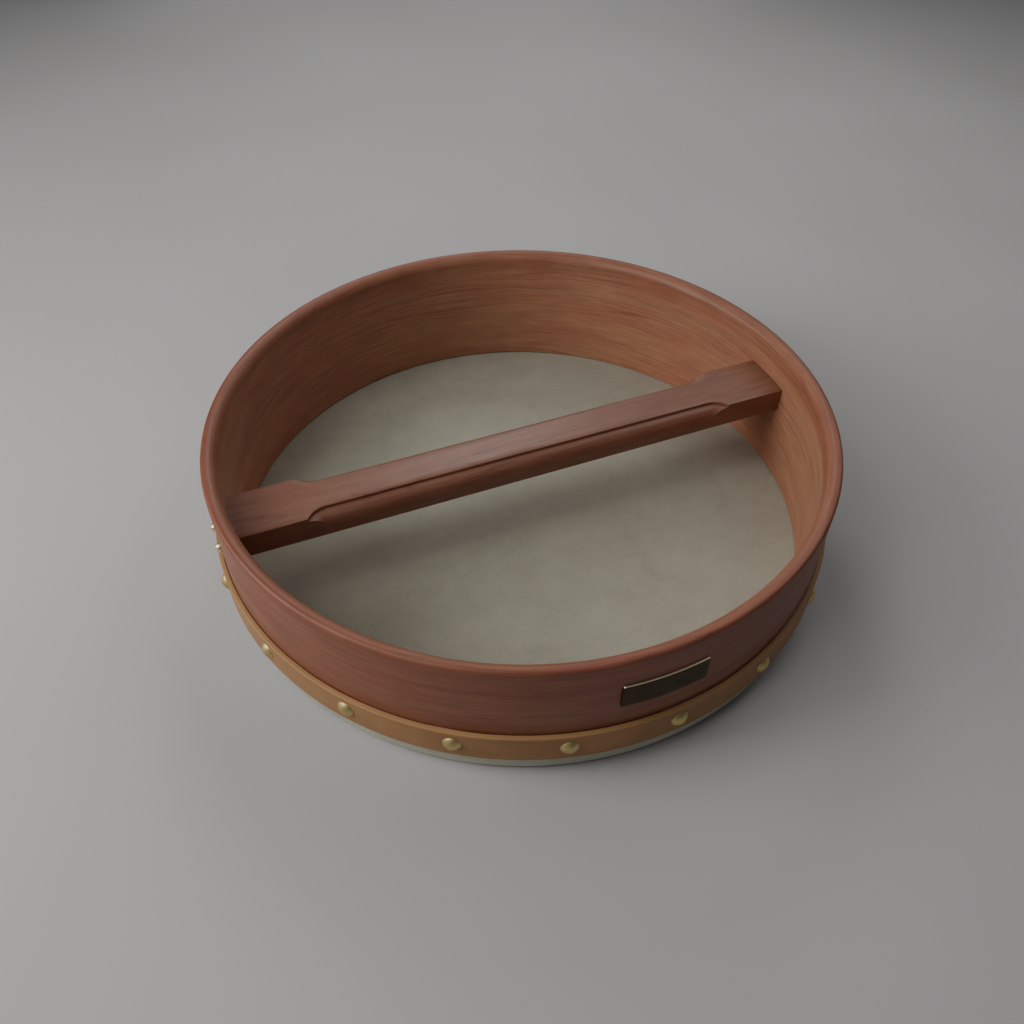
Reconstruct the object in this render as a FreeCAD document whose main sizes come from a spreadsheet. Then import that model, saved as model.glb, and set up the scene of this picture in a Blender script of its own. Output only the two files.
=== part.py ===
import FreeCAD, Part
import os
import Sketcher
from FreeCAD import Placement, Rotation, Vector

# Bodhran: a shallow frame drum with one goatskin head, nailed on under a leather band.
#
# Frame: +Z is the drum's axis, and the origin is the centre of the skin's outer face.
# The skin is underneath, the open back is on top, the crossbar lies along X and the
# maker's plate faces -Y. Angles are measured from +X, anticlockwise seen from above.

DIMENSIONS = {
    # hoop: a bent strip with a rim that is rounded most on its inner side, where the arm
    # rests, and a rounded bearing edge for the skin
    "hoop_radius": 203.2,
    "hoop_wall": 9.2,
    "drum_depth": 95.2,
    "rim_outer_round": 2.1,
    "rim_inner_round": 6.9,
    "bearing_round": 6.1,
    "inner_relief": 1.2,
    # skin: a flat disc that rolls round the bearing edge and ends behind the band
    "skin_thickness": 0.6,
    "skirt_top": 37.0,
    # band: a leather strip whose ends meet at the back, half way between two tacks
    "band_bottom": 16.4,
    "band_top": 38.2,
    "band_thickness": 2.8,
    "band_edge_round": 0.8,
    "band_joint_gap": 0.4,
    "band_joint_angle": 84.3,
    # tacks: hollow domed nails, evenly spaced round the band
    "tack_count": 20,
    "tack_start_angle": 3.3,
    "tack_height": 27.9,
    "tack_head_radius": 5.5,
    "tack_head_rise": 3.0,
    "tack_head_wall": 0.7,
    "tack_shank_radius": 0.75,
    "tack_shank_length": 8.0,
    "tack_point_length": 1.6,
    # crossbar: its ends are cut to the hoop's inner curve
    "bar_width": 38.5,
    "bar_top": 69.6,
    "bar_thickness": 18.2,
    # stopped round-over along both top edges of the bar, cut with a bearing-guided bit
    "quirk_depth": 2.1,
    "cut_inset": 7.5,
    "bit_bearing_radius": 8.0,
    "bit_travel": 135.8,
    "cut_clearance": 2.0,
    # pins: two side by side at each end of the bar
    "pin_half_angle": 2.54,
    "pin_height": 56.1,
    "pin_head_radius": 3.2,
    "pin_head_rise": 3.6,
    "pin_shank_radius": 1.2,
    "pin_shank_length": 28.0,
    "pin_point_length": 2.4,
    # maker's plate: curved to the hoop and held by an adhesive film
    "plate_half_angle": 7.3,
    "plate_bottom": 56.6,
    "plate_height": 18.4,
    "plate_thickness": 1.0,
    "plate_corner": 1.4,
    "film_thickness": 0.2,
    "film_margin": 1.2,
}

HOOP_INNER = "(Sizes.hoop_radius - Sizes.hoop_wall)"
SKIN_OUTER = "(Sizes.hoop_radius + Sizes.skin_thickness)"
BAND_OUTER = "(Sizes.hoop_radius + Sizes.skin_thickness + Sizes.band_thickness)"

doc = FreeCAD.newDocument("Bodhran")


def make_sheet():
    """Write every driving dimension to the sheet, each cell with its own alias."""
    sheet = doc.addObject("Spreadsheet::Sheet", "Sizes")
    for row, (alias, value) in enumerate(DIMENSIONS.items(), start=1):
        sheet.set(f"A{row}", alias)
        sheet.set(f"B{row}", str(value))
        sheet.setAlias(f"B{row}", alias)
    doc.recompute()
    return sheet


sheet = make_sheet()


def evaluate(expression):
    """The number that an expression has now, in mm or degrees."""
    result = sheet.evalExpression(expression)
    return float(getattr(result, "Value", result))


def add_body(label):
    body = doc.addObject("PartDesign::Body", label)
    body.Label = label
    return body


def origin_item(body, role):
    """An origin plane or axis of a body, found by its role."""
    return next(item for item in body.Origin.OriginFeatures if item.Role == role)


def add_sketch(body, name, role):
    sketch = body.newObject("Sketcher::SketchObject", name)
    sketch.AttachmentSupport = [(origin_item(body, role), "")]
    sketch.MapMode = "FlatFace"
    return sketch


def bind_point(sketch, geometry, end, axis, expression):
    """Tie one coordinate of a sketch point to an expression, measured from the sketch's origin."""
    value = evaluate(expression)
    if abs(value) < 1e-9:
        sketch_axis = -2 if axis == "X" else -1
        sketch.addConstraint(Sketcher.Constraint("PointOnObject", geometry, end, sketch_axis))
        return
    origin, point = (-1, 1), (geometry, end)
    first, second = (origin, point) if value > 0 else (point, origin)
    index = sketch.addConstraint(Sketcher.Constraint(f"Distance{axis}", *first, *second, abs(value)))
    sketch.setExpression(f"Constraints[{index}]", expression if value > 0 else f"-({expression})")


def arc_between(start, end, centre):
    """The short arc from start to end about centre, and whether the sketch stores it reversed."""
    radius = (start - centre).Length
    first = (start - centre).getAngle(Vector(1, 0, 0)) * (1 if start.y >= centre.y else -1)
    last = (end - centre).getAngle(Vector(1, 0, 0)) * (1 if end.y >= centre.y else -1)
    turn = (start - centre).cross(end - centre).z
    circle = Part.Circle(centre, Vector(0, 0, 1), radius)
    if turn > 0:
        return Part.ArcOfCircle(circle, first, last), False
    return Part.ArcOfCircle(circle, last, first), True


def add_outline(sketch, corners):
    """Draw a closed outline whose corners are bound to the sheet.

    A corner is (x, y), or (x, y, centre_x, centre_y) where an arc leads from it to the next
    corner. Every entry is an expression.
    """
    points = [Vector(evaluate(corner[0]), evaluate(corner[1]), 0) for corner in corners]
    ends = []
    for index, corner in enumerate(corners):
        start, end = points[index], points[(index + 1) % len(points)]
        if len(corner) == 2:
            geometry, reversed_arc = Part.LineSegment(start, end), False
        else:
            centre = Vector(evaluate(corner[2]), evaluate(corner[3]), 0)
            geometry, reversed_arc = arc_between(start, end, centre)
        number = sketch.addGeometry(geometry, False)
        ends.append((number, 2, 1) if reversed_arc else (number, 1, 2))
    for index, corner in enumerate(corners):
        number, start_end, far_end = ends[index]
        next_number, next_start, _ = ends[(index + 1) % len(corners)]
        sketch.addConstraint(Sketcher.Constraint("Coincident", number, far_end, next_number, next_start))
        bind_point(sketch, number, start_end, "X", corner[0])
        bind_point(sketch, number, start_end, "Y", corner[1])
        if len(corner) == 4:
            radius = f"sqrt(({corner[0]} - {corner[2]})^2 + ({corner[1]} - {corner[3]})^2)"
            bound = sketch.addConstraint(Sketcher.Constraint("Radius", number, evaluate(radius)))
            sketch.setExpression(f"Constraints[{bound}]", radius)


def revolve(body, name, corners, axis="V_Axis"):
    """A full turn of an XZ-plane outline, about Z or about the sketch's own X."""
    sketch = add_sketch(body, f"{name}_sketch", "XZ_Plane")
    add_outline(sketch, corners)
    feature = body.newObject("PartDesign::Revolution", name)
    feature.Profile = sketch
    feature.ReferenceAxis = (sketch, [axis])
    feature.Angle = 360
    doc.recompute()
    return feature


def pad(body, name, corners, bottom, height):
    """An XY-plane outline raised from one height by another."""
    sketch = add_sketch(body, f"{name}_sketch", "XY_Plane")
    sketch.setExpression("AttachmentOffset.Base.z", bottom)
    add_outline(sketch, corners)
    feature = body.newObject("PartDesign::Pad", name)
    feature.Profile = sketch
    feature.setExpression("Length", height)
    doc.recompute()
    return feature


def fillet(body, name, base, edges, radius):
    feature = body.newObject("PartDesign::Fillet", name)
    feature.Base = (base, edges)
    feature.setExpression("Radius", radius)
    doc.recompute()
    return feature


def circle_edges(shape, radius, height):
    """Names of the full circles of one radius at one height."""
    return [
        f"Edge{index}"
        for index, edge in enumerate(shape.Edges, start=1)
        if isinstance(edge.Curve, Part.Circle)
        and abs(edge.Curve.Radius - radius) < 1e-4
        and abs(edge.Curve.Center.z - height) < 1e-4
    ]


def straight_edges(shape, length):
    """Names of the straight edges of one length."""
    return [
        f"Edge{index}"
        for index, edge in enumerate(shape.Edges, start=1)
        if isinstance(edge.Curve, Part.Line) and abs(edge.Length - length) < 1e-4
    ]


def require_cut(body, volume_before, name):
    """Stop if a cut has removed nothing."""
    doc.recompute()
    if body.Shape.Volume > volume_before - 0.01:
        raise RuntimeError(f"{name} removed nothing from {body.Label}")


def aim_outward(sketch, angle, distance):
    """Turn a YZ-plane sketch about Z to face an angle, and move it out from the axis."""
    sketch.AttachmentOffset = Placement(Vector(0, 0, 0), Rotation(Vector(0, 1, 0), 1))
    sketch.setExpression("AttachmentOffset.Rotation.Angle", angle)
    sketch.setExpression("AttachmentOffset.Base.x", f"({distance}) * sin(({angle}) * 1deg)")
    sketch.setExpression("AttachmentOffset.Base.z", f"({distance}) * cos(({angle}) * 1deg)")


def radial_hole(body, name, angle, height, radius, start, depth):
    """A round hole bored towards the axis, a depth into a face at a start radius."""
    before = body.Shape.Volume
    sketch = add_sketch(body, f"{name}_sketch", "YZ_Plane")
    aim_outward(sketch, angle, f"{start} + Sizes.cut_clearance")
    circle = Part.Circle(Vector(0, evaluate(height), 0), Vector(0, 0, 1), evaluate(radius))
    number = sketch.addGeometry(circle, False)
    bind_point(sketch, number, 3, "X", "0")
    bind_point(sketch, number, 3, "Y", height)
    bound = sketch.addConstraint(Sketcher.Constraint("Radius", number, evaluate(radius)))
    sketch.setExpression(f"Constraints[{bound}]", radius)
    pocket = body.newObject("PartDesign::Pocket", name)
    pocket.Profile = sketch
    pocket.setExpression("Length", f"{depth} + Sizes.cut_clearance")
    require_cut(body, before, name)
    return pocket


def pattern_round(body, name, originals, count):
    """Repeat features evenly round the Z axis."""
    before = body.Shape.Volume
    pattern = body.newObject("PartDesign::PolarPattern", name)
    pattern.Originals = originals
    pattern.Axis = (origin_item(body, "Z_Axis"), [""])
    pattern.Angle = 360
    pattern.setExpression("Occurrences", count)
    body.Tip = pattern
    require_cut(body, before, name)
    return pattern


def bore_tack_holes(body, depth):
    """The ring of tack holes, from outside the band to a depth below the band's face."""
    hole = radial_hole(body, f"{body.Label}_tack_hole", "Sizes.tack_start_angle", "Sizes.tack_height",
                       "Sizes.tack_shank_radius", BAND_OUTER, depth)
    pattern_round(body, f"{body.Label}_tack_holes", [hole], "Sizes.tack_count")


def bore_pin_holes(body):
    """Two pin holes side by side at each end of the bar."""
    holes = [
        radial_hole(body, f"{body.Label}_pin_hole_{side}", f"{sign}Sizes.pin_half_angle",
                    "Sizes.pin_height", "Sizes.pin_shank_radius", "Sizes.hoop_radius",
                    "Sizes.pin_shank_length")
        for side, sign in (("left", ""), ("right", "-"))
    ]
    pattern_round(body, f"{body.Label}_pin_holes", holes, "2")


def make_hoop():
    body = add_body("hoop")
    ring = revolve(body, "hoop_ring", [
        ("Sizes.hoop_radius", "Sizes.skin_thickness"),
        ("Sizes.hoop_radius", "Sizes.drum_depth"),
        (HOOP_INNER, "Sizes.drum_depth"),
        (HOOP_INNER, "Sizes.skin_thickness + Sizes.inner_relief"),
        (f"{HOOP_INNER} + Sizes.inner_relief", "Sizes.skin_thickness"),
    ])
    outer, depth = evaluate("Sizes.hoop_radius"), evaluate("Sizes.drum_depth")
    outer_rim = circle_edges(ring.Shape, outer, depth)
    eased = fillet(body, "hoop_outer_rim", ring, outer_rim, "Sizes.rim_outer_round")
    inner_rim = circle_edges(eased.Shape, evaluate(HOOP_INNER), depth)
    rounded = fillet(body, "hoop_inner_rim", eased, inner_rim, "Sizes.rim_inner_round")
    bearing = circle_edges(rounded.Shape, outer, evaluate("Sizes.skin_thickness"))
    fillet(body, "hoop_bearing_edge", rounded, bearing, "Sizes.bearing_round")
    bore_tack_holes(body, "Sizes.tack_shank_length")
    bore_pin_holes(body)


def make_drum_head():
    body = add_body("drum_head")
    skin = revolve(body, "skin", [
        ("0", "0"),
        (SKIN_OUTER, "0"),
        (SKIN_OUTER, "Sizes.skirt_top"),
        ("Sizes.hoop_radius", "Sizes.skirt_top"),
        ("Sizes.hoop_radius", "Sizes.skin_thickness"),
        ("0", "Sizes.skin_thickness"),
    ])
    outer_edge = circle_edges(skin.Shape, evaluate(SKIN_OUTER), 0)
    outside = fillet(body, "skin_outer_roll", skin, outer_edge, "Sizes.bearing_round + Sizes.skin_thickness")
    inner_edge = circle_edges(outside.Shape, evaluate("Sizes.hoop_radius"), evaluate("Sizes.skin_thickness"))
    fillet(body, "skin_inner_roll", outside, inner_edge, "Sizes.bearing_round")
    bore_tack_holes(body, "Sizes.skin_thickness + Sizes.band_thickness + 1")


def make_tack_band():
    body = add_body("tack_band")
    strip = revolve(body, "strip", [
        (SKIN_OUTER, "Sizes.band_bottom"),
        (BAND_OUTER, "Sizes.band_bottom"),
        (BAND_OUTER, "Sizes.band_top"),
        (SKIN_OUTER, "Sizes.band_top"),
    ])
    outer = evaluate(BAND_OUTER)
    edges = [name for alias in ("Sizes.band_bottom", "Sizes.band_top")
             for name in circle_edges(strip.Shape, outer, evaluate(alias))]
    fillet(body, "strip_edges", strip, edges, "Sizes.band_edge_round")
    before = body.Shape.Volume
    sketch = add_sketch(body, "joint_sketch", "YZ_Plane")
    aim_outward(sketch, "Sizes.band_joint_angle", f"{BAND_OUTER} + Sizes.cut_clearance")
    add_outline(sketch, [
        ("-Sizes.band_joint_gap / 2", "Sizes.band_bottom - 1"),
        ("Sizes.band_joint_gap / 2", "Sizes.band_bottom - 1"),
        ("Sizes.band_joint_gap / 2", "Sizes.band_top + 1"),
        ("-Sizes.band_joint_gap / 2", "Sizes.band_top + 1"),
    ])
    joint = body.newObject("PartDesign::Pocket", "strip_joint")
    joint.Profile = sketch
    joint.setExpression("Length", "Sizes.band_thickness + 2 * Sizes.cut_clearance")
    require_cut(body, before, "strip_joint")
    bore_tack_holes(body, "Sizes.band_thickness + 1")


def add_bit_profile(body, name, travel):
    """Half the round-over bit's section, drawn about the bit's own upright axis."""
    bit_axis = "(Sizes.bar_width / 2 + Sizes.bit_bearing_radius)"
    reach = "(Sizes.bit_bearing_radius + Sizes.cut_inset)"
    round_top = "(Sizes.bar_top - Sizes.quirk_depth)"
    round_bottom = f"({round_top} - Sizes.cut_inset)"
    sketch = add_sketch(body, f"{name}_sketch", "YZ_Plane")
    sketch.setExpression("AttachmentOffset.Base.x", bit_axis)
    sketch.setExpression("AttachmentOffset.Base.z", travel)
    add_outline(sketch, [
        ("0", "Sizes.bar_top + Sizes.cut_clearance"),
        (f"-{reach}", "Sizes.bar_top + Sizes.cut_clearance"),
        (f"-{reach}", round_top, f"-{reach}", round_bottom),
        ("-Sizes.bit_bearing_radius", round_bottom),
        ("0", round_bottom),
    ])
    return sketch


def cut_round_overs(body):
    """The bit's straight run and its two round ends on one edge, then both mirrored."""
    before = body.Shape.Volume
    run = body.newObject("PartDesign::Pocket", "round_over_run")
    run.Profile = add_bit_profile(body, "round_over_run", "-Sizes.bit_travel")
    run.Reversed = True
    run.setExpression("Length", "2 * Sizes.bit_travel")
    require_cut(body, before, "round_over_run")
    cuts = [run]
    for side, sign in (("left", "-"), ("right", "")):
        before = body.Shape.Volume
        sketch = add_bit_profile(body, f"round_over_{side}", f"{sign}Sizes.bit_travel")
        stop = body.newObject("PartDesign::Groove", f"round_over_{side}")
        stop.Profile = sketch
        stop.ReferenceAxis = (sketch, ["V_Axis"])
        stop.Angle = 360
        require_cut(body, before, stop.Name)
        cuts.append(stop)
    before = body.Shape.Volume
    mirrored = body.newObject("PartDesign::Mirrored", "round_overs")
    mirrored.Originals = cuts
    mirrored.MirrorPlane = (origin_item(body, "XZ_Plane"), [""])
    body.Tip = mirrored
    require_cut(body, before, "round_overs")


def make_crossbar():
    body = add_body("crossbar")
    half = "Sizes.bar_width / 2"
    end = f"sqrt({HOOP_INNER}^2 - ({half})^2)"
    pad(body, "bar", [
        (f"-{end}", f"-{half}"),
        (end, f"-{half}", "0", "0"),
        (end, half),
        (f"-{end}", half, "0", "0"),
    ], "Sizes.bar_top - Sizes.bar_thickness", "Sizes.bar_thickness")
    cut_round_overs(body)
    bore_pin_holes(body)


def curved_panel(body, name, inner, outer, half_angle, bottom, height):
    """A panel that follows the hoop's outside, centred on -Y."""
    side, facing = f"sin(({half_angle}) * 1deg)", f"cos(({half_angle}) * 1deg)"
    return pad(body, name, [
        (f"-({inner}) * {side}", f"-({inner}) * {facing}", "0", "0"),
        (f"({inner}) * {side}", f"-({inner}) * {facing}"),
        (f"({outer}) * {side}", f"-({outer}) * {facing}", "0", "0"),
        (f"-({outer}) * {side}", f"-({outer}) * {facing}"),
    ], bottom, height)


def make_maker_plate():
    body = add_body("maker_plate")
    inner = "Sizes.hoop_radius + Sizes.film_thickness"
    panel = curved_panel(body, "panel", inner, f"{inner} + Sizes.plate_thickness",
                         "Sizes.plate_half_angle", "Sizes.plate_bottom", "Sizes.plate_height")
    corners = straight_edges(panel.Shape, evaluate("Sizes.plate_thickness"))
    fillet(body, "panel_corners", panel, corners, "Sizes.plate_corner")


def make_plate_film():
    body = add_body("plate_adhesive")
    margin_angle = "Sizes.film_margin / Sizes.hoop_radius * 180 / pi"
    curved_panel(body, "film", "Sizes.hoop_radius", "Sizes.hoop_radius + Sizes.film_thickness",
                 f"Sizes.plate_half_angle - {margin_angle}", "Sizes.plate_bottom + Sizes.film_margin",
                 "Sizes.plate_height - 2 * Sizes.film_margin")


def nail_outline(kind, hollow):
    """Half a domed nail in its own frame: +X out of the head, the head's rim at X = 0."""
    rise, rim, shank = f"Sizes.{kind}_head_rise", f"Sizes.{kind}_head_radius", f"Sizes.{kind}_shank_radius"
    sphere = f"(({rim}^2 + {rise}^2) / (2 * {rise}))"
    centre = f"({rise} - {sphere})"
    outline = [
        (rise, "0", centre, "0"),
        ("0", rim),
    ]
    if hollow:
        inside = f"({sphere} - Sizes.{kind}_head_wall)"
        outline.append(("0", f"sqrt({inside}^2 - {centre}^2)", centre, "0"))
        outline.append((f"{centre} + sqrt({inside}^2 - {shank}^2)", shank))
    else:
        outline.append(("0", shank))
    outline.append((f"Sizes.{kind}_point_length - Sizes.{kind}_shank_length", shank))
    outline.append((f"-Sizes.{kind}_shank_length", "0"))
    return outline


def make_nail(label, kind, angle, seat_radius, hollow):
    """One domed nail, its head seated at a radius and its shank pointing at the axis."""
    body = add_body(label)
    revolve(body, f"{label}_turned", nail_outline(kind, hollow), axis="H_Axis")
    body.Placement = Placement(Vector(0, 0, 0), Rotation(Vector(0, 0, 1), 1))
    body.setExpression("Placement.Rotation.Angle", angle)
    body.setExpression("Placement.Base.x", f"({seat_radius}) * cos(({angle}) * 1deg)")
    body.setExpression("Placement.Base.y", f"({seat_radius}) * sin(({angle}) * 1deg)")
    body.setExpression("Placement.Base.z", f"Sizes.{kind}_height")


def make_tacks():
    for index in range(int(evaluate("Sizes.tack_count"))):
        angle = f"Sizes.tack_start_angle + {index} * 360 / Sizes.tack_count"
        make_nail(f"tack_{index + 1:02d}", "tack", angle, BAND_OUTER, hollow=True)


def make_crossbar_pins():
    angles = ("-Sizes.pin_half_angle", "Sizes.pin_half_angle",
              "180 - Sizes.pin_half_angle", "180 + Sizes.pin_half_angle")
    for index, angle in enumerate(angles, start=1):
        make_nail(f"crossbar_pin_{index}", "pin", angle, "Sizes.hoop_radius", hollow=False)


def check_document():
    """Stop on any failed object, and on a sub-part that is not one valid solid."""
    doc.recompute()
    for item in doc.Objects:
        if {"Invalid", "Error"} & set(item.State):
            raise RuntimeError(f"{item.Label} failed: {item.State}")
    bodies = [item for item in doc.Objects if item.TypeId == "PartDesign::Body"]
    for body in bodies:
        shape = body.Shape
        if shape.isNull() or not shape.isValid() or len(shape.Solids) != 1:
            raise RuntimeError(f"{body.Label} is not one valid solid")
    return bodies


def write_parts(bodies):
    os.makedirs("parts", exist_ok=True)
    for body in bodies:
        body.Shape.exportStep(f"parts/{body.Label}.step")
        print(f"{body.Label}: {body.Shape.Volume / 1000:.3f} cm3")


make_hoop()
make_drum_head()
make_tack_band()
make_tacks()
make_crossbar()
make_crossbar_pins()
make_maker_plate()
make_plate_film()
write_parts(check_document())
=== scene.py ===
import math
import random

import bmesh
import bpy
from mathutils import Euler, Matrix, Vector, noise


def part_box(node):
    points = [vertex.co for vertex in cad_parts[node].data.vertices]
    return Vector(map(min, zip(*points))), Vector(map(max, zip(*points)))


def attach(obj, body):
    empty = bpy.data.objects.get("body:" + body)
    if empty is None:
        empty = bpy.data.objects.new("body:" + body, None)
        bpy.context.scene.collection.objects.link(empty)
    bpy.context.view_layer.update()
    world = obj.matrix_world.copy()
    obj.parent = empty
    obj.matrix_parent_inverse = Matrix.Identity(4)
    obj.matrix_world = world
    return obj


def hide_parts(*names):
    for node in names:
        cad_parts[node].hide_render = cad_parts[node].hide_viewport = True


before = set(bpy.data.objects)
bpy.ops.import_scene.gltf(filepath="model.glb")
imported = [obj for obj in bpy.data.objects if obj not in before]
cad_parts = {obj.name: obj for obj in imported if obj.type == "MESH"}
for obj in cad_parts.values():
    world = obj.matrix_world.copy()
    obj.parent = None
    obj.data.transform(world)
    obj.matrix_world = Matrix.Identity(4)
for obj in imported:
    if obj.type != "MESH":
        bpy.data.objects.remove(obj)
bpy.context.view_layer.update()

# Bodhran, lying head down. Metres throughout, in the CAD frame: +Z is the drum's axis,
# the skin's outer face is at Z = 0, the crossbar lies along X and the plate faces -Y.

MM = 0.001
TURN = 2 * math.pi


def radii(node):
    """Smallest and largest distance of a node's vertices from the drum's axis."""
    distances = [vertex.co.xy.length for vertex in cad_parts[node].data.vertices]
    return min(distances), max(distances)


# ---------------------------------------------------------------- sizes from the frame

HOOP_LOW, HOOP_HIGH = (corner.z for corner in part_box("hoop"))
HOOP_INNER, HOOP_OUTER = radii("hoop")
SKIN_OUTER = radii("drum_head")[1]
SKIN_THICKNESS = SKIN_OUTER - HOOP_OUTER
SKIRT_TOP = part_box("drum_head")[1].z
BAND_LOW, BAND_HIGH = (corner.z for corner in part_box("tack_band"))
BAND_OUTER = radii("tack_band")[1]
BAR_LOW, BAR_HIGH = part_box("crossbar")
PLATE_LOW, PLATE_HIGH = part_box("maker_plate")
PLATE_OUTER = radii("maker_plate")[1]

# ---------------------------------------------------------------- other sizes and counts

RIM_OUTER_ROUND = 2.1 * MM
RIM_INNER_ROUND = 6.9 * MM
BEARING_ROUND = 6.1 * MM
INNER_RELIEF = 1.2 * MM
BAND_EDGE_ROUND = 0.8 * MM
BAND_JOINT_ANGLE = math.radians(84.3)
BAND_JOINT_GAP = 0.4 * MM
TACK_COUNT = 20
TACK_START_ANGLE = math.radians(3.3)
PIN_ANGLES = [math.radians(angle) for angle in (-2.54, 2.54, 177.46, 182.54)]
BIT_BEARING = 8.0 * MM
BIT_TRAVEL = 135.8 * MM
CUT_INSET = 7.5 * MM
QUIRK_DEPTH = 2.1 * MM
BAR_TOP_EDGE = 0.35 * MM
BAR_LOW_EDGE = 1.2 * MM
PLATE_THICKNESS = 1.0 * MM
PLATE_CORNER = 1.4 * MM
PLATE_EDGE = 0.3 * MM
PLATE_LEAST_CORNER = 0.02 * MM
RELIEF_ROUND = 0.4 * MM
CUT_EDGE_ROUND = 0.2 * MM

# A softened edge of size e has a middle line of points, this share of e inside both its faces.
SOFT_SHARE = 0.3

DRUM_SEGMENTS = 360
BAND_SEGMENTS = 840
NAIL_SEGMENTS = 40
NAIL_LEAN_DEGREES = 1.2
TACK_SEAT = BAND_OUTER - 0.1 * MM

NAIL_SIZES = {
    "tack": {"rise": 3.0 * MM, "rim": 5.5 * MM, "wall": 0.7 * MM,
             "shank": 0.75 * MM, "length": 8.0 * MM, "point": 1.6 * MM},
    "pin": {"rise": 3.6 * MM, "rim": 3.2 * MM, "wall": 0.0,
            "shank": 1.2 * MM, "length": 28.0 * MM, "point": 2.4 * MM},
}


# ---------------------------------------------------------------- mesh building

class Surface:
    """The points and faces of one mesh; points that round to the same micrometre are one."""

    def __init__(self):
        self.points = []
        self.faces = []
        self.numbers = {}

    def vertex(self, point):
        key = tuple(round(coordinate * 1e6) for coordinate in point)
        if key not in self.numbers:
            self.numbers[key] = len(self.points)
            self.points.append(tuple(point))
        return self.numbers[key]

    def face(self, corners):
        ring = list(dict.fromkeys(self.vertex(corner) for corner in corners))
        if len(ring) > 2:
            self.faces.append(ring)

    def grid(self, rows, close_rows=False, close_columns=False):
        """Quads between each row and the next, all of one length."""
        row_pairs = list(zip(rows, rows[1:]))
        if close_rows:
            row_pairs.append((rows[-1], rows[0]))
        for near, far in row_pairs:
            count = len(near) if close_columns else len(near) - 1
            for index in range(count):
                after = (index + 1) % len(near)
                self.face((near[index], near[after], far[after], far[index]))

    def build(self, name, material, replaced, sharp_angle=32):
        mesh = bpy.data.meshes.new(name)
        mesh.from_pydata(self.points, [], self.faces)
        work = bmesh.new()
        work.from_mesh(mesh)
        bmesh.ops.recalc_face_normals(work, faces=work.faces)
        work.to_mesh(mesh)
        work.free()
        mesh.shade_smooth()
        mesh.set_sharp_from_angle(angle=math.radians(sharp_angle))
        mesh.materials.append(material)
        piece = bpy.data.objects.new(name, mesh)
        bpy.context.scene.collection.objects.link(piece)
        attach(piece, "root")
        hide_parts(replaced)
        return piece


def rounded(corners, rounds, steps=8):
    """A closed outline with each corner replaced by a tangent arc of its own radius."""
    outline = []
    for index, corner in enumerate(corners):
        radius = rounds[index]
        here = Vector(corner)
        to_last = (Vector(corners[index - 1]) - here).normalized()
        to_next = (Vector(corners[(index + 1) % len(corners)]) - here).normalized()
        if radius == 0:
            outline.append(here)
            continue
        half_angle = to_last.angle(to_next) / 2
        reach = radius / math.tan(half_angle)
        centre = here + (to_last + to_next).normalized() * (radius / math.sin(half_angle))
        first = here + to_last * reach - centre
        last = here + to_next * reach - centre
        swing = first.angle_signed(last)
        for step in range(steps + 1):
            arm = first.copy()
            arm.rotate(Matrix.Rotation(-swing * step / steps, 2))
            outline.append(centre + arm)
    return outline


def spaced(outline, longest, closed=True):
    """The same outline with extra points so that no straight run is longer than a limit."""
    points = []
    ends = outline + outline[:1] if closed else outline
    for start, end in zip(ends, ends[1:]):
        pieces = max(1, math.ceil((end - start).length / longest))
        points += [start.lerp(end, step / pieces) for step in range(pieces)]
    return points if closed else points + [outline[-1]]


def around(radius, height, angle):
    return Vector((radius * math.cos(angle), radius * math.sin(angle), height))


def wander(angle, waves, seed):
    """A smooth value from about -1 to 1 that closes on itself round the drum."""
    return noise.noise(Vector((math.cos(angle) * waves, math.sin(angle) * waves, seed)))


# ---------------------------------------------------------------- pieces

def make_hoop(material):
    outline = rounded(
        [(HOOP_OUTER, HOOP_LOW), (HOOP_OUTER, HOOP_HIGH), (HOOP_INNER, HOOP_HIGH),
         (HOOP_INNER, HOOP_LOW + INNER_RELIEF), (HOOP_INNER + INNER_RELIEF, HOOP_LOW)],
        [BEARING_ROUND, RIM_OUTER_ROUND, RIM_INNER_ROUND, RELIEF_ROUND, RELIEF_ROUND], steps=12)
    section = spaced(outline, 6 * MM)
    surface = Surface()
    rows = [[around(r, z, TURN * step / DRUM_SEGMENTS) for r, z in section]
            for step in range(DRUM_SEGMENTS)]
    surface.grid(rows, close_rows=True, close_columns=True)
    return surface.build("hoop_wood", material, "hoop")


def make_drum_head(material):
    """One skin: the flat head, the roll round the bearing edge and the skirt behind the band."""
    outer_roll = BEARING_ROUND + SKIN_THICKNESS
    outline = rounded(
        [(0, 0), (SKIN_OUTER, 0), (SKIN_OUTER, SKIRT_TOP), (HOOP_OUTER, SKIRT_TOP),
         (HOOP_OUTER, SKIN_THICKNESS), (0, SKIN_THICKNESS)],
        [0, outer_roll, CUT_EDGE_ROUND, CUT_EDGE_ROUND, BEARING_ROUND, 0])
    section = spaced(outline, 7 * MM, closed=False)
    trim, ripple = 0.7 * MM, 0.12 * MM
    ripple_middle, ripple_reach = 8 * MM, 5 * MM
    rows = []
    for step in range(DRUM_SEGMENTS):
        angle = TURN * step / DRUM_SEGMENTS
        row = []
        for r, z in section:
            up_skirt = max(0.0, (z - outer_roll) / (SKIRT_TOP - outer_roll))
            below_band = max(0.0, 1 - abs(z - ripple_middle) / ripple_reach) if r > HOOP_OUTER else 0.0
            lift = trim * up_skirt ** 4 * wander(angle, 9, 3.1)
            swell = ripple * below_band * wander(angle, 22, 7.7)
            row.append(around(r + swell, z + lift, angle))
        rows.append(row)
    surface = Surface()
    surface.grid(rows, close_rows=True)
    skin = surface.build("drum_head_skin", material, "drum_head")


def tack_angle(index):
    return TACK_START_ANGLE + TURN * index / TACK_COUNT


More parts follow.
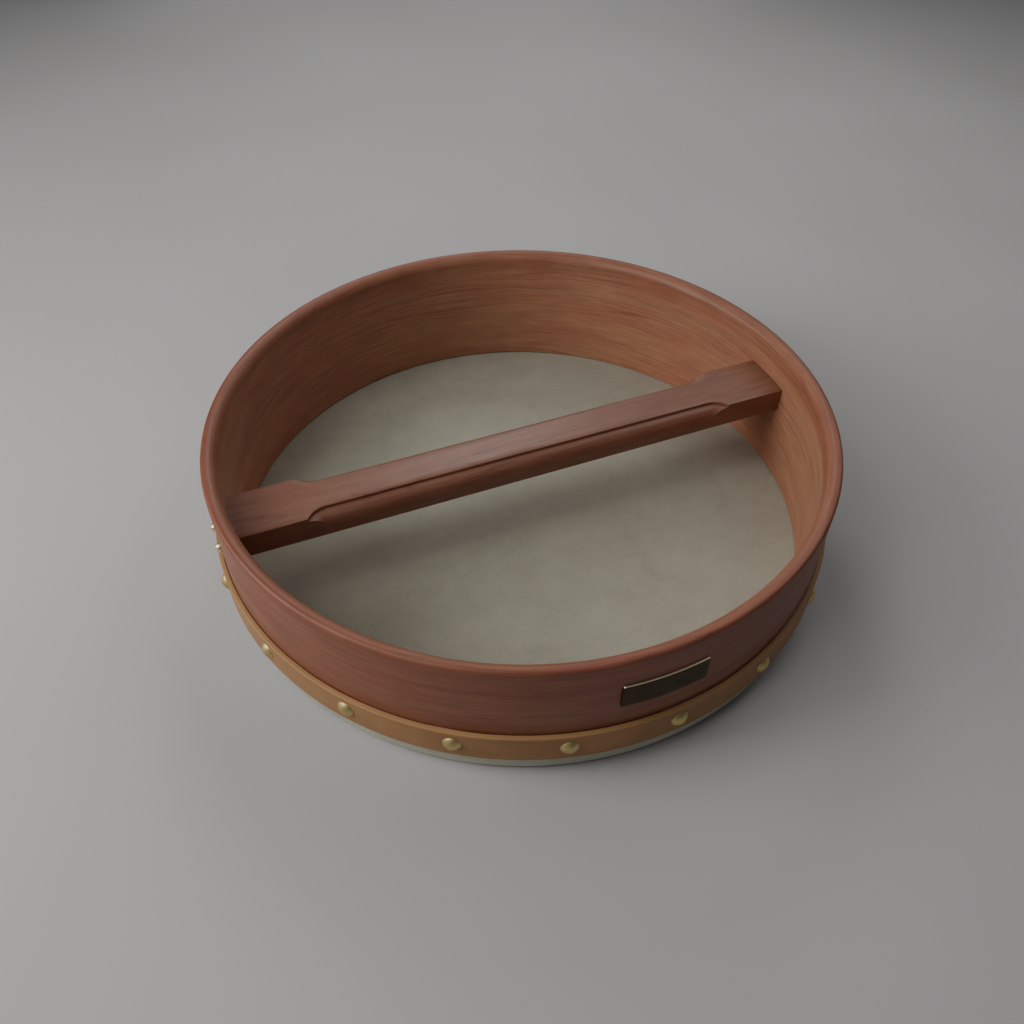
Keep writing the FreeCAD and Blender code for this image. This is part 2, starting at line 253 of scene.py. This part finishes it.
def distance_to_tack(angle, height, tack_height):
    """How far a point of the band's face is from the nearest tack's axis."""
    step = TURN / TACK_COUNT
    offset = (angle - TACK_START_ANGLE + step / 2) % step - step / 2
    return math.hypot(offset * BAND_OUTER, height - tack_height)


def make_tack_band(material, tack_height):
    outline = rounded(
        [(SKIN_OUTER, BAND_LOW), (BAND_OUTER, BAND_LOW),
         (BAND_OUTER, BAND_HIGH), (SKIN_OUTER, BAND_HIGH)],
        [0, BAND_EDGE_ROUND, BAND_EDGE_ROUND, CUT_EDGE_ROUND], steps=5)
    section = spaced(outline, 1.6 * MM)
    thickness = BAND_OUTER - SKIN_OUTER
    dimple, dimple_width, edge_wander = 0.3 * MM, 6 * MM, 0.12 * MM
    half_gap = BAND_JOINT_GAP / 2 / BAND_OUTER
    middle = (BAND_LOW + BAND_HIGH) / 2
    rows = []
    for step in range(BAND_SEGMENTS + 1):
        angle = BAND_JOINT_ANGLE + half_gap + (TURN - 2 * half_gap) * step / BAND_SEGMENTS
        row = []
        for r, z in section:
            outward = (r - SKIN_OUTER) / thickness
            across = abs(z - middle) / (BAND_HIGH - middle)
            away = distance_to_tack(angle, z, tack_height)
            sink = dimple * outward * math.exp(-(away / dimple_width) ** 2)
            side = math.copysign(1, z - middle)
            shift = edge_wander * across ** 6 * wander(angle, 14, 5 + side)
            row.append(around(r - sink, z - side * abs(shift), angle))
        rows.append(row)
    surface = Surface()
    surface.grid(rows, close_columns=True)
    surface.face(rows[0])
    surface.face(rows[-1])
    return surface.build("tack_band_leather", material, "tack_band")


def nail_profile(sizes):
    """(along, radius) from the middle of the dome to the point, with 0 along at the head's rim."""
    rise, rim, wall, shank = sizes["rise"], sizes["rim"], sizes["wall"], sizes["shank"]
    sphere = (rim ** 2 + rise ** 2) / (2 * rise)
    centre = rise - sphere
    edge = math.acos(-centre / sphere)
    steps, inner_steps = 14, 8
    profile = [(centre + sphere * math.cos(edge * step / steps),
                sphere * math.sin(edge * step / steps)) for step in range(steps + 1)]
    if wall:
        inside = sphere - wall
        inner_edge = math.acos(-centre / inside)
        shank_edge = math.asin(shank / inside)
        middle = (profile[-1][1] + inside * math.sin(inner_edge)) / 2
        profile.append((-0.1 * MM, middle))
        for step in range(inner_steps + 1):
            turn = inner_edge + (shank_edge - inner_edge) * step / inner_steps
            profile.append((centre + inside * math.cos(turn), inside * math.sin(turn)))
    else:
        profile.append((0, shank))
    profile.append((sizes["point"] - sizes["length"], shank))
    profile.append((-sizes["length"], 0))
    return profile


def make_nail(node, kind, angle, seat, material, rng):
    """A domed nail, turned at random on its axis and leaning a little, as a hand-driven one does."""
    low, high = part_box(node)
    spin = rng.uniform(0, TURN)
    leans = [math.radians(rng.uniform(-NAIL_LEAN_DEGREES, NAIL_LEAN_DEGREES)) for _ in range(2)]
    lean = Euler((spin, *leans))
    place = (Matrix.Translation(around(seat, (low.z + high.z) / 2, angle))
             @ Matrix.Rotation(angle, 4, "Z") @ lean.to_matrix().to_4x4())
    dent, dents_per_metre, dome_above = 0.012 * MM, 700, 0.5 * MM
    shift = angle * 9
    rows = []
    for step in range(NAIL_SEGMENTS):
        turn = TURN * step / NAIL_SEGMENTS
        row = []
        for along, radius in nail_profile(NAIL_SIZES[kind]):
            y, z = radius * math.cos(turn), radius * math.sin(turn)
            beaten = dent * noise.noise(Vector((along * dents_per_metre, y * dents_per_metre + shift,
                                                z * dents_per_metre)))
            along_dented = along + (beaten if along > dome_above else 0)
            row.append(place @ Vector((along_dented, y, z)))
        rows.append(row)
    surface = Surface()
    surface.grid(rows, close_rows=True)
    return surface.build(f"{node}_brass", material, node, sharp_angle=50)


def make_tacks(material):
    rng = random.Random(20)
    for index in range(TACK_COUNT):
        make_nail(f"tack_{index + 1:02d}", "tack", tack_angle(index), TACK_SEAT,
                  material, rng)


def make_pins(material):
    rng = random.Random(4)
    for index, angle in enumerate(PIN_ANGLES, start=1):
        make_nail(f"crossbar_pin_{index}", "pin", angle, HOOP_OUTER, material, rng)


def round_over_height(bit_radius):
    """Height that the bit leaves at a distance from its own axis."""
    top = BAR_HIGH.z - QUIRK_DEPTH
    drop = min(1.0, max(0.0, (BIT_BEARING + CUT_INSET - bit_radius) / CUT_INSET))
    return top - CUT_INSET * (1 - math.sqrt(1 - drop * drop))


def bar_station(travel, swing, block):
    """One row of points across a quarter of the bar, from its top middle to its bottom middle.

    travel (0 to 1) runs along the straight cut, swing (0 to 1) round the cut's stopped end,
    and block (0 to 1) from the stop to the end that meets the hoop.
    """
    half = BAR_HIGH.y
    axis_y = half + BIT_BEARING
    reach = BIT_BEARING + CUT_INSET
    top, bottom = BAR_HIGH.z, BAR_LOW.z
    straight_x = BIT_TRAVEL * travel

    def extend(x, y):
        return x + (math.sqrt(HOOP_INNER ** 2 - y ** 2) - x) * block

    def rail(offset):
        """A point at one distance inside the plateau's edge."""
        turn = swing * math.acos((BIT_BEARING + offset) / (reach + offset))
        return straight_x + (reach + offset) * math.sin(turn), axis_y - (reach + offset) * math.cos(turn)

    margin = 4 * MM
    soft = SOFT_SHARE * BAR_TOP_EDGE
    row = [Vector((extend(rail(margin)[0], 0), 0, top))]
    for offset, drop in ((margin, 0), (BAR_TOP_EDGE, 0), (soft, soft), (0, BAR_TOP_EDGE)):
        x, y = rail(offset)
        row.append(Vector((extend(x, y), y, top - drop)))
    turn = swing * math.acos(BIT_BEARING / reach)
    steps = 10
    for step in range(steps + 1):
        radius = reach + (BIT_BEARING / math.cos(turn) - reach) * step / steps
        x, y = straight_x + radius * math.sin(turn), axis_y - radius * math.cos(turn)
        row.append(Vector((extend(x, y), y, round_over_height(radius))))
    side_x = straight_x + BIT_BEARING * math.tan(turn)
    soft = SOFT_SHARE * BAR_LOW_EDGE
    for y, z in ((half, bottom + margin), (half, bottom + BAR_LOW_EDGE), (half - soft, bottom + soft),
                 (half - BAR_LOW_EDGE, bottom), (half / 2, bottom), (0, bottom)):
        row.append(Vector((extend(side_x, y), y, z)))
    return row


def make_crossbar(material):
    """A flat bar with a stopped, quirked round-over along both top edges."""
    straight_steps, stop_steps, block_steps = 24, 14, 8
    stations = [(step / straight_steps, 0, 0) for step in range(straight_steps)]
    stations += [(1, step / stop_steps, 0) for step in range(stop_steps)]
    stations += [(1, 1, step / block_steps) for step in range(block_steps + 1)]
    rows = [bar_station(*station) for station in stations]
    surface = Surface()
    for side_x in (-1, 1):
        for side_y in (-1, 1):
            flip = Vector((side_x, side_y, 1))
            surface.grid([[point * flip for point in row] for row in rows])
        end = [point * Vector((side_x, 1, 1)) for point in rows[-1]]
        other = [point * Vector((1, -1, 1)) for point in reversed(end)]
        surface.face(end + other)
    return surface.build("crossbar_wood", material, "crossbar")


def plate_ring(inset, depth):
    """A closed ring on the plate, inset from its outline, at a depth in front of its back."""
    back = PLATE_OUTER - PLATE_THICKNESS
    half_width = PLATE_OUTER * math.asin(PLATE_HIGH.x / PLATE_OUTER) - inset
    half_height = (PLATE_HIGH.z - PLATE_LOW.z) / 2 - inset
    corner = max(PLATE_CORNER - inset, PLATE_LEAST_CORNER)
    middle = (PLATE_HIGH.z + PLATE_LOW.z) / 2
    corner_steps, side_steps = 6, 16
    flat = []
    for across, up, start in ((1, 1, 0), (-1, 1, 1), (-1, -1, 2), (1, -1, 3)):
        for step in range(corner_steps + 1):
            turn = math.pi / 2 * (start + step / corner_steps)
            flat.append(Vector((across * (half_width - corner) + corner * math.cos(turn),
                                up * (half_height - corner) + corner * math.sin(turn))))
    points = []
    for start, end in zip(flat, flat[1:] + flat[:1]):
        pieces = side_steps if (end - start).length > half_height else 1
        points += [start.lerp(end, step / pieces) for step in range(pieces)]
    return [around(back + depth, middle + v, -math.pi / 2 + u / PLATE_OUTER) for u, v in points]


def make_plate(material):
    half_height = (PLATE_HIGH.z - PLATE_LOW.z) / 2
    innermost, steps = half_height - 0.1 * MM, 5
    insets = [PLATE_EDGE + (innermost - PLATE_EDGE) * step / steps for step in range(steps + 1)]
    soft = SOFT_SHARE * PLATE_EDGE
    rings = [plate_ring(inset, 0) for inset in reversed(insets)]
    rings += [plate_ring(0, 0), plate_ring(0, PLATE_THICKNESS - PLATE_EDGE),
              plate_ring(soft, PLATE_THICKNESS - soft)]
    rings += [plate_ring(inset, PLATE_THICKNESS) for inset in insets]
    surface = Surface()
    surface.grid(rings, close_columns=True)
    surface.face(rings[0])
    surface.face(rings[-1])
    return surface.build("maker_plate_brass", material, "maker_plate")


# ---------------------------------------------------------------- material nodes

class Look:
    """A material's node tree, with short calls to add nodes and join them."""

    def __init__(self, name):
        self.material = bpy.data.materials.new(name)
        self.material.use_nodes = True
        self.tree = self.material.node_tree
        self.shader = self.tree.nodes["Principled BSDF"]

    def add(self, kind, inputs=(), **settings):
        node = self.tree.nodes.new(f"ShaderNode{kind}")
        for name, value in settings.items():
            setattr(node, name, value)
        for socket, value in dict(inputs).items():
            self.feed(node.inputs[socket], value)
        return node

    def feed(self, socket, value):
        """Join a socket to another node's output, or set it to a plain value."""
        if isinstance(value, bpy.types.NodeSocket):
            self.tree.links.new(value, socket)
        else:
            socket.default_value = value

    def shade(self, **sockets):
        """Set or join the shader's own sockets; Base_Color stands for Base Color."""
        for name, value in sockets.items():
            self.feed(self.shader.inputs[name.replace("_", " ")], value)

    def math(self, operation, first, second=0.0):
        return self.add("Math", {0: first, 1: second}, operation=operation).outputs[0]

    def noise(self, vector, scale=1.0, detail=2.0, roughness=0.5, w=None, distortion=0.0):
        inputs = {"Vector": vector, "Scale": scale, "Detail": detail, "Roughness": roughness,
                  "Distortion": distortion}
        if w is None:
            return self.add("TexNoise", inputs).outputs["Fac"]
        inputs["W"] = w
        return self.add("TexNoise", inputs, noise_dimensions="4D").outputs["Fac"]

    def stretch(self, vector, scale, location=(0, 0, 0)):
        inputs = {"Vector": vector, "Scale": scale, "Location": location}
        return self.add("Mapping", inputs).outputs["Vector"]

    def fade(self, value, start, end, low=0.0, high=1.0):
        """From low to high as the value goes from start to end, and level outside that."""
        inputs = {"Value": value, "From Min": start, "From Max": end, "To Min": low, "To Max": high}
        return self.add("MapRange", inputs).outputs[0]

    def ramp(self, factor, stops, smooth=False):
        """A colour ramp; a stop is (position, colour) or (position, grey)."""
        node = self.add("ValToRGB", {"Fac": factor})
        if smooth:
            node.color_ramp.interpolation = "EASE"
        elements = node.color_ramp.elements
        while len(elements) < len(stops):
            elements.new(0.5)
        for element, (position, colour) in zip(elements, stops):
            element.position = position
            element.color = (*colour, 1) if isinstance(colour, tuple) else (colour, colour, colour, 1)
        return node.outputs["Color"]

    def mix(self, factor, first, second, blend="MIX"):
        node = self.add("Mix", data_type="RGBA", blend_type=blend)
        self.feed(node.inputs["Factor"], factor)
        self.feed(node.inputs[6], first if isinstance(first, bpy.types.NodeSocket) else (*first, 1))
        self.feed(node.inputs[7], second if isinstance(second, bpy.types.NodeSocket) else (*second, 1))
        return node.outputs[2]

    def shaded(self, colour, *shades):
        """The colour multiplied by each shade in turn."""
        for shade in shades:
            colour = self.mix(1.0, colour, shade, blend="MULTIPLY")
        return colour

    def bump(self, height, strength, distance):
        inputs = {"Height": height, "Strength": strength, "Distance": distance}
        return self.add("Bump", inputs).outputs["Normal"]

    def position(self):
        return self.add("TexCoord").outputs["Object"]

    def split(self, vector):
        return self.add("SeparateXYZ", {"Vector": vector}).outputs

    def join(self, x, y, z):
        return self.add("CombineXYZ", {"X": x, "Y": y, "Z": z}).outputs[0]


# ---------------------------------------------------------------- materials

def hoop_grain(look):
    """Grain space for bent wood, the distance across the grain, and how far a point is inside: the mask
    for the painted light on the inner wall.
    """
    x, y, z = look.split(look.position())
    flat = look.join(x, y, 0.0)
    unit = look.add("VectorMath", {0: flat}, operation="NORMALIZE").outputs["Vector"]
    radius = look.add("VectorMath", {0: flat}, operation="LENGTH").outputs["Value"]

    def at(along, across):
        circle = look.stretch(unit, (along * HOOP_OUTER,) * 3)
        raised = look.join(0.0, 0.0, look.math("MULTIPLY", z, across))
        vector = look.add("VectorMath", {0: circle, 1: raised}, operation="ADD").outputs["Vector"]
        return vector, look.math("MULTIPLY", radius, across)

    # Mask for painted light: full on the inner wall below the rim, weaker towards the rim's top and the
    # outer face.
    inward = look.fade(radius, HOOP_INNER + 7 * MM, HOOP_INNER + 1 * MM, low=0.2)
    below_rim = look.fade(z, HOOP_HIGH - 4 * MM, HOOP_HIGH - 16 * MM, low=0.45)
    inside = look.math("MULTIPLY", inward, below_rim)
    return at, look.math("ADD", z, look.math("MULTIPLY", radius, 0.8)), inside


def bar_grain(look):
    """Grain space for a straight bar along X, the distance across the grain, and no inside."""
    position = look.position()
    parts = look.split(position)

    def at(along, across):
        return look.stretch(position, (along, across, across), (3.0, 1.0, 7.0)), None

    return at, look.math("ADD", parts["Y"], look.math("MULTIPLY", parts["Z"], 0.6)), None


def wood(name, grain_of, tones, line_gap, coat, rough):
    """Stained, oiled hardwood: wavy growth lines, red and tan patches, fibres and fine pores.

    coat is the oil's weight and roughness, and rough the wood's own lowest and highest.
    """
    look = Look(name)
    at, across_grain, inside = grain_of(look)

    def layer(along, across, **settings):
        vector, w = at(along, across)
        return look.noise(vector, w=w, **settings)

    drift = layer(3.4, 24, detail=2.0, roughness=0.45)
    wobble = layer(13, 95, detail=3.0, roughness=0.6)
    phase = look.math("ADD", look.math("MULTIPLY", across_grain, 1 / line_gap),
                      look.math("MULTIPLY", drift, 15))
    phase = look.math("ADD", phase, look.math("MULTIPLY", wobble, 1.8))
    line = look.ramp(look.math("FRACT", phase), [(0.0, 1.0), (0.06, 0.7), (0.2, 0.15), (0.4, 0.0),
                                                 (0.76, 0.04), (0.94, 0.55), (1.0, 1.0)])
    each_line = look.add("TexWhiteNoise", {"W": look.math("FLOOR", phase)},
                         noise_dimensions="1D").outputs["Value"]
    patchy = look.ramp(layer(11, 60, detail=2.0), [(0.38, 0.05), (0.64, 0.9)], smooth=True)
    line_strength = look.math("ADD", look.math("MULTIPLY", each_line, 0.7), 0.15)
    line_strength = look.math("MULTIPLY", line_strength, patchy)

    broad = look.add("TexNoise", {"W": look.math("MULTIPLY", phase, 0.4), "Scale": 1.0, "Detail": 1.0},
                     noise_dimensions="1D").outputs["Fac"]
    blotch = layer(15, 58, detail=4.0, roughness=0.65)
    blend = look.math("ADD", look.math("MULTIPLY", broad, 0.25), look.math("MULTIPLY", blotch, 0.75))
    tone = look.ramp(blend, [(0.32, 0.0), (0.64, 1.0)], smooth=True)
    shimmer = look.ramp(layer(55, 130, detail=2.0), [(0.3, 0.93), (0.7, 1.05)])
    streak = look.ramp(layer(24, 500, detail=3.0, roughness=0.6), [(0.3, 0.88), (0.7, 1.07)])
    fibre = look.ramp(layer(26, 1100, detail=4.0, roughness=0.75), [(0.32, 0.82), (0.68, 1.1)])
    pores = look.ramp(layer(170, 3400, detail=1.0), [(0.24, 0.7), (0.33, 1.0)])

    colour = look.mix(tone, tones["red"], tones["tan"])
    colour = look.mix(look.math("MULTIPLY", line, line_strength), colour, tones["line"])
    colour = look.shaded(colour, shimmer, streak, fibre, pores)
    # Painted light: on the hoop's inner wall the wood is painted brighter and yellower, standing for the
    # light that falls inside the drum.
    if inside is not None:
        colour = look.mix(inside, colour, look.shaded(colour, tones["inside"]))
    relief = look.math("ADD", look.math("MULTIPLY", fibre, 0.5), look.math("MULTIPLY", pores, 0.5))
    relief = look.math("SUBTRACT", relief, look.math("MULTIPLY", line, 0.2))
    sheen = look.ramp(layer(12, 500, detail=2.0), [(0.3, rough[0]), (0.7, rough[1])])
    look.shade(Base_Color=colour, Roughness=sheen, Coat_Weight=coat[0], Coat_Roughness=coat[1],
               Normal=look.bump(relief, 0.3, 0.1 * MM))
    return look.material


def goatskin():
    """Scraped skin: faint clouds, fine tangled fibre, a few hair specks and a matt face."""
    look = Look("goatskin")
    position = look.position()
    z = look.split(position)["Z"]
    clouds = look.noise(position, scale=16, detail=3.0, roughness=0.55, distortion=0.4)
    patches = look.noise(position, scale=75, detail=4.0, roughness=0.62, distortion=0.3)
    fibre = look.noise(look.stretch(position, (620, 900, 900)), detail=4.0, roughness=0.65,
                       distortion=1.2)
    speckle = look.noise(position, scale=2600, detail=1.0)
    veins = look.noise(look.stretch(position, (6, 15, 15)), scale=1.6, detail=5.0, roughness=0.66,
                       distortion=0.8)

    colour = look.ramp(clouds, [(0.32, (0.385, 0.37, 0.288)), (0.68, (0.425, 0.412, 0.322))])
    vein_line = look.ramp(veins, [(0.47, 1.0), (0.495, 0.95), (0.505, 0.95), (0.53, 1.0)])
    # Painted light: the skin's roll round the edge and its skirt are painted up to 1.3 times brighter,
    # standing for light falling on the roll.
    roll_painted_light = look.fade(z, 0.8 * MM, 4 * MM, low=1.0, high=1.3)
    colour = look.shaded(colour, look.ramp(patches, [(0.3, 0.94), (0.7, 1.04)]),
                         look.ramp(fibre, [(0.3, 0.94), (0.7, 1.04)]),
                         look.ramp(speckle, [(0.22, 0.82), (0.3, 1.0)]), vein_line, roll_painted_light)
    relief = look.math("ADD", look.math("MULTIPLY", fibre, 0.8), patches)
    look.shade(Base_Color=colour, Roughness=look.ramp(patches, [(0.3, 0.6), (0.7, 0.74)]),
               Specular_IOR_Level=0.35, Sheen_Weight=0.06, Sheen_Roughness=0.5,
               Normal=look.bump(relief, 0.3, 0.15 * MM))
    return look.material


def band_leather():
    """Tan leather: fine pebbled grain, soft marks along the strip and a top edge painted lighter as a
    painted highlight.
    """
    look = Look("band_leather")
    position = look.position()
    z = look.split(position)["Z"]
    cells = look.add("TexVoronoi", {"Vector": position, "Scale": 1700.0}, feature="DISTANCE_TO_EDGE")
    pebble = look.ramp(cells.outputs["Distance"], [(0.0, 0.0), (0.22, 1.0)], smooth=True)
    clouds = look.noise(position, scale=42, detail=4.0, roughness=0.6)
    along = look.noise(look.stretch(position, (25, 25, 240)), detail=3.0, roughness=0.6)
    fine = look.noise(position, scale=1400, detail=2.0)

    colour = look.ramp(clouds, [(0.3, BAND_TONES["dark"]), (0.7, BAND_TONES["light"])])
    height = look.math("ADD", z, look.math("MULTIPLY", look.math("SUBTRACT", clouds, 0.5), 0.8 * MM))
    # Painted highlight: the band's top edge, which faces up into the light, is painted lighter.
    painted_top_highlight = look.fade(height, BAND_HIGH - 1.9 * MM, BAND_HIGH - 0.7 * MM, high=0.5)
    colour = look.mix(painted_top_highlight, colour, BAND_TONES["painted_top_highlight"])
    low_edge = look.fade(height, BAND_LOW + 0.3 * MM, BAND_LOW + 1.8 * MM, low=0.72)
    colour = look.shaded(colour, look.ramp(along, [(0.3, 0.93), (0.7, 1.04)]),
                         look.ramp(pebble, [(0.0, 0.9), (1.0, 1.0)]),
                         look.ramp(fine, [(0.3, 0.96), (0.7, 1.03)]), low_edge)
    relief = look.math("ADD", pebble, look.math("MULTIPLY", along, 1.2))
    look.shade(Base_Color=colour, Roughness=look.ramp(clouds, [(0.3, 0.5), (0.7, 0.62)]),
               Specular_IOR_Level=0.35, Sheen_Weight=0.04, Normal=look.bump(relief, 0.22, 0.07 * MM))
    return look.material


def brass(name, tint, scratch_stretch, rough, painted_highlight_above=None):
    """Aged satin brass: soft handling marks, fine scratches and brown tarnish in patches.

    Above a height, where given, the metal is painted bright: a painted highlight along the top edge
    where light catches it.
    """
    look = Look(name)
    position = look.position()
    patina = look.noise(position, scale=170, detail=3.0, roughness=0.55)
    mottle = look.noise(position, scale=1100, detail=2.0)
    scratches = look.noise(look.stretch(position, scratch_stretch), detail=2.0, roughness=0.7)
    stain = look.ramp(patina, [(0.3, 0.0), (0.75, 1.0)], smooth=True)
    tarnished = tuple(channel * share for channel, share in zip(tint, TARNISH))
    colour = look.mix(stain, tint, tarnished)
    colour = look.shaded(colour, look.ramp(mottle, [(0.3, 0.95), (0.7, 1.03)]),
                         look.ramp(scratches, [(0.3, 0.93), (0.7, 1.03)]))
    # Painted highlight: the plate's top edge is painted bright brass.
    if painted_highlight_above is not None:
        painted_top_highlight = look.fade(look.split(position)["Z"], painted_highlight_above - 0.15 * MM, painted_highlight_above)
        colour = look.mix(painted_top_highlight, colour, PAINTED_HIGHLIGHT_BRASS)
    wear = look.math("ADD", look.math("MULTIPLY", patina, 0.7), look.math("MULTIPLY", scratches, 0.3))
    look.shade(Base_Color=colour, Metallic=1.0,
               Roughness=look.ramp(wear, [(0.32, rough[0]), (0.68, rough[1])]),
               Normal=look.bump(scratches, 0.1, 0.02 * MM))
    return look.material


def adhesive_film():
    """Cloudy pressure-sensitive film under the plate."""
    look = Look("adhesive_film")
    bubbles = look.noise(look.position(), scale=700, detail=2.0)
    look.shade(Base_Color=look.ramp(bubbles, [(0.35, (0.42, 0.38, 0.28)), (0.6, (0.55, 0.5, 0.38))]),
               Roughness=look.ramp(bubbles, [(0.3, 0.35), (0.7, 0.55)]),
               Normal=look.bump(bubbles, 0.2, 0.03 * MM))
    return look.material


def floor_paper():
    look = Look("floor_paper")
    tooth = look.noise(look.position(), scale=900, detail=3.0)
    tone = look.noise(look.position(), scale=3, detail=2.0)
    look.shade(Base_Color=look.ramp(tone, [(0.3, (0.51, 0.5, 0.487)), (0.7, (0.55, 0.54, 0.527))]),
               Roughness=look.ramp(tooth, [(0.3, 0.78), (0.7, 0.9)]), Specular_IOR_Level=0.2,
               Normal=look.bump(tooth, 0.1, 0.1 * MM))
    return look.material


# ---------------------------------------------------------------- stage

FLOOR_SIZE = 40.0
CAMERA_HEADING = math.radians(-22.7)
CAMERA_DISTANCE = 0.45672
CAMERA_HEIGHT = 0.47174
CAMERA_YAW = -0.01265
CAMERA_PITCH = 0.80091
CAMERA_ROLL = 0.00258
CAMERA_LENS = 31.866
SENSOR_WIDTH = 36.0

# Name, place in the camera's turned axes, side of the square and watts. All aim at LIGHT_TARGET.
LIGHTS = [
    ("key", (-0.64, -0.41, 0.98), 0.8, 4.9),
    ("left", (-1.04, -0.23, 0.61), 0.6, 6.2),
    ("back", (-0.09, 0.89, 0.85), 0.36, 1.9),
    ("low_back", (-0.12, 1.12, 0.46), 1.0, 1.0),
    ("side", (0.59, 0.5, 0.97), 0.8, 2.3),
]
LIGHT_TARGET = (0, 0, 0.05)
SKY_COLOUR = (0.9, 0.93, 1.0, 1)
SKY_STRENGTH = 0.08


def make_floor():
    mesh = bpy.data.meshes.new("floor")
    half = FLOOR_SIZE / 2
    corners = [(-half, -half, 0), (half, -half, 0), (half, half, 0), (-half, half, 0)]
    mesh.from_pydata(corners, [], [(0, 1, 2, 3)])
    mesh.materials.append(floor_paper())
    floor = bpy.data.objects.new("floor", mesh)
    bpy.context.scene.collection.objects.link(floor)


def camera_frame():
    """The camera's axes turned by its heading: X to its right, Y away from it, Z up."""
    return Matrix.Rotation(CAMERA_HEADING, 3, "Z")


def make_camera():
    cos_pitch, sin_pitch = math.cos(CAMERA_PITCH), math.sin(CAMERA_PITCH)
    cos_yaw, sin_yaw = math.cos(CAMERA_YAW), math.sin(CAMERA_YAW)
    ahead = Vector((sin_yaw * cos_pitch, cos_yaw * cos_pitch, -sin_pitch))
    right = Vector((cos_yaw, -sin_yaw, 0))
    up = right.cross(ahead)
    tilt = Matrix.Rotation(CAMERA_ROLL, 3, -ahead)
    axes = Matrix((tilt @ right, tilt @ up, -ahead)).transposed()
    data = bpy.data.cameras.new("camera")
    data.lens = CAMERA_LENS
    data.sensor_width = SENSOR_WIDTH
    camera = bpy.data.objects.new("camera", data)
    place = camera_frame() @ Vector((0, -CAMERA_DISTANCE, CAMERA_HEIGHT))
    camera.matrix_world = Matrix.Translation(place) @ (camera_frame() @ axes).to_4x4()
    bpy.context.scene.collection.objects.link(camera)
    bpy.context.scene.camera = camera


def make_light(name, place, size, watts):
    """A soft square light; its place is in the camera's turned axes."""
    data = bpy.data.lights.new(name, "AREA")
    data.shape = "SQUARE"
    data.size = size
    data.energy = watts
    light = bpy.data.objects.new(name, data)
    start, end = camera_frame() @ Vector(place), camera_frame() @ Vector(LIGHT_TARGET)
    aim = (end - start).to_track_quat("-Z", "Y").to_matrix().to_4x4()
    light.matrix_world = Matrix.Translation(start) @ aim
    bpy.context.scene.collection.objects.link(light)


def make_world():
    world = bpy.data.worlds.new("studio")
    world.use_nodes = True
    background = world.node_tree.nodes["Background"]
    background.inputs["Color"].default_value = SKY_COLOUR
    background.inputs["Strength"].default_value = SKY_STRENGTH
    bpy.context.scene.world = world


def make_stage():
    make_floor()
    make_camera()
    make_world()
    for light in LIGHTS:
        make_light(*light)


# ---------------------------------------------------------------- the drum

# "inside" multiplies the wood's colour on the hoop's inner wall: painted light, making the inner wall
# brighter and yellower where light falls inside the drum.
HOOP_TONES = {"red": (0.25, 0.064, 0.033), "tan": (0.272, 0.089, 0.043),
              "line": (0.135, 0.028, 0.015), "inside": (1.74, 2.6, 2.95)}
BAR_TONES = {"red": (0.235, 0.086, 0.049), "tan": (0.26, 0.112, 0.063),
             "line": (0.155, 0.045, 0.026)}
# The band's third tone is a painted highlight for its top edge.
BAND_TONES = {"dark": (0.37, 0.178, 0.064), "light": (0.46, 0.235, 0.092),
              "painted_top_highlight": (0.5, 0.29, 0.13)}
TACK_TINT = (0.72, 0.57, 0.27)
PIN_TINT = (0.95, 0.83, 0.52)
# Painted shade: the plate's brass is painted nearly black, standing for the shade it lies in.
PLATE_PAINTED_SHADE_TINT = (0.06, 0.043, 0.015)
# Painted highlight for the plate's top edge.
PAINTED_HIGHLIGHT_BRASS = (0.95, 0.84, 0.58)
TARNISH = (0.86, 0.82, 0.76)
NAIL_SCRATCHES = (600, 600, 600)
PLATE_SCRATCHES = (40, 40, 2600)

make_hoop(wood("hoop_wood", hoop_grain, HOOP_TONES, line_gap=4.2 * MM, coat=(0.02, 0.4),
               rough=(0.44, 0.56)))
make_drum_head(goatskin())
tack_low, tack_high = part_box("tack_01")
make_tack_band(band_leather(), (tack_low.z + tack_high.z) / 2)
make_tacks(brass("tack_brass", TACK_TINT, NAIL_SCRATCHES, rough=(0.46, 0.54)))
make_crossbar(wood("bar_wood", bar_grain, BAR_TONES, line_gap=5 * MM, coat=(0.2, 0.3),
                   rough=(0.38, 0.48)))
make_pins(brass("pin_brass", PIN_TINT, NAIL_SCRATCHES, rough=(0.3, 0.4)))
# The plate: painted shade on its face and a painted highlight on its top edge.
make_plate(brass("plate_brass", PLATE_PAINTED_SHADE_TINT, PLATE_SCRATCHES, rough=(0.36, 0.46),
                 painted_highlight_above=PLATE_HIGH.z - 0.4 * MM))

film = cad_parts["plate_adhesive"]
film.data.materials.clear()
film.data.materials.append(adhesive_film())

make_stage()
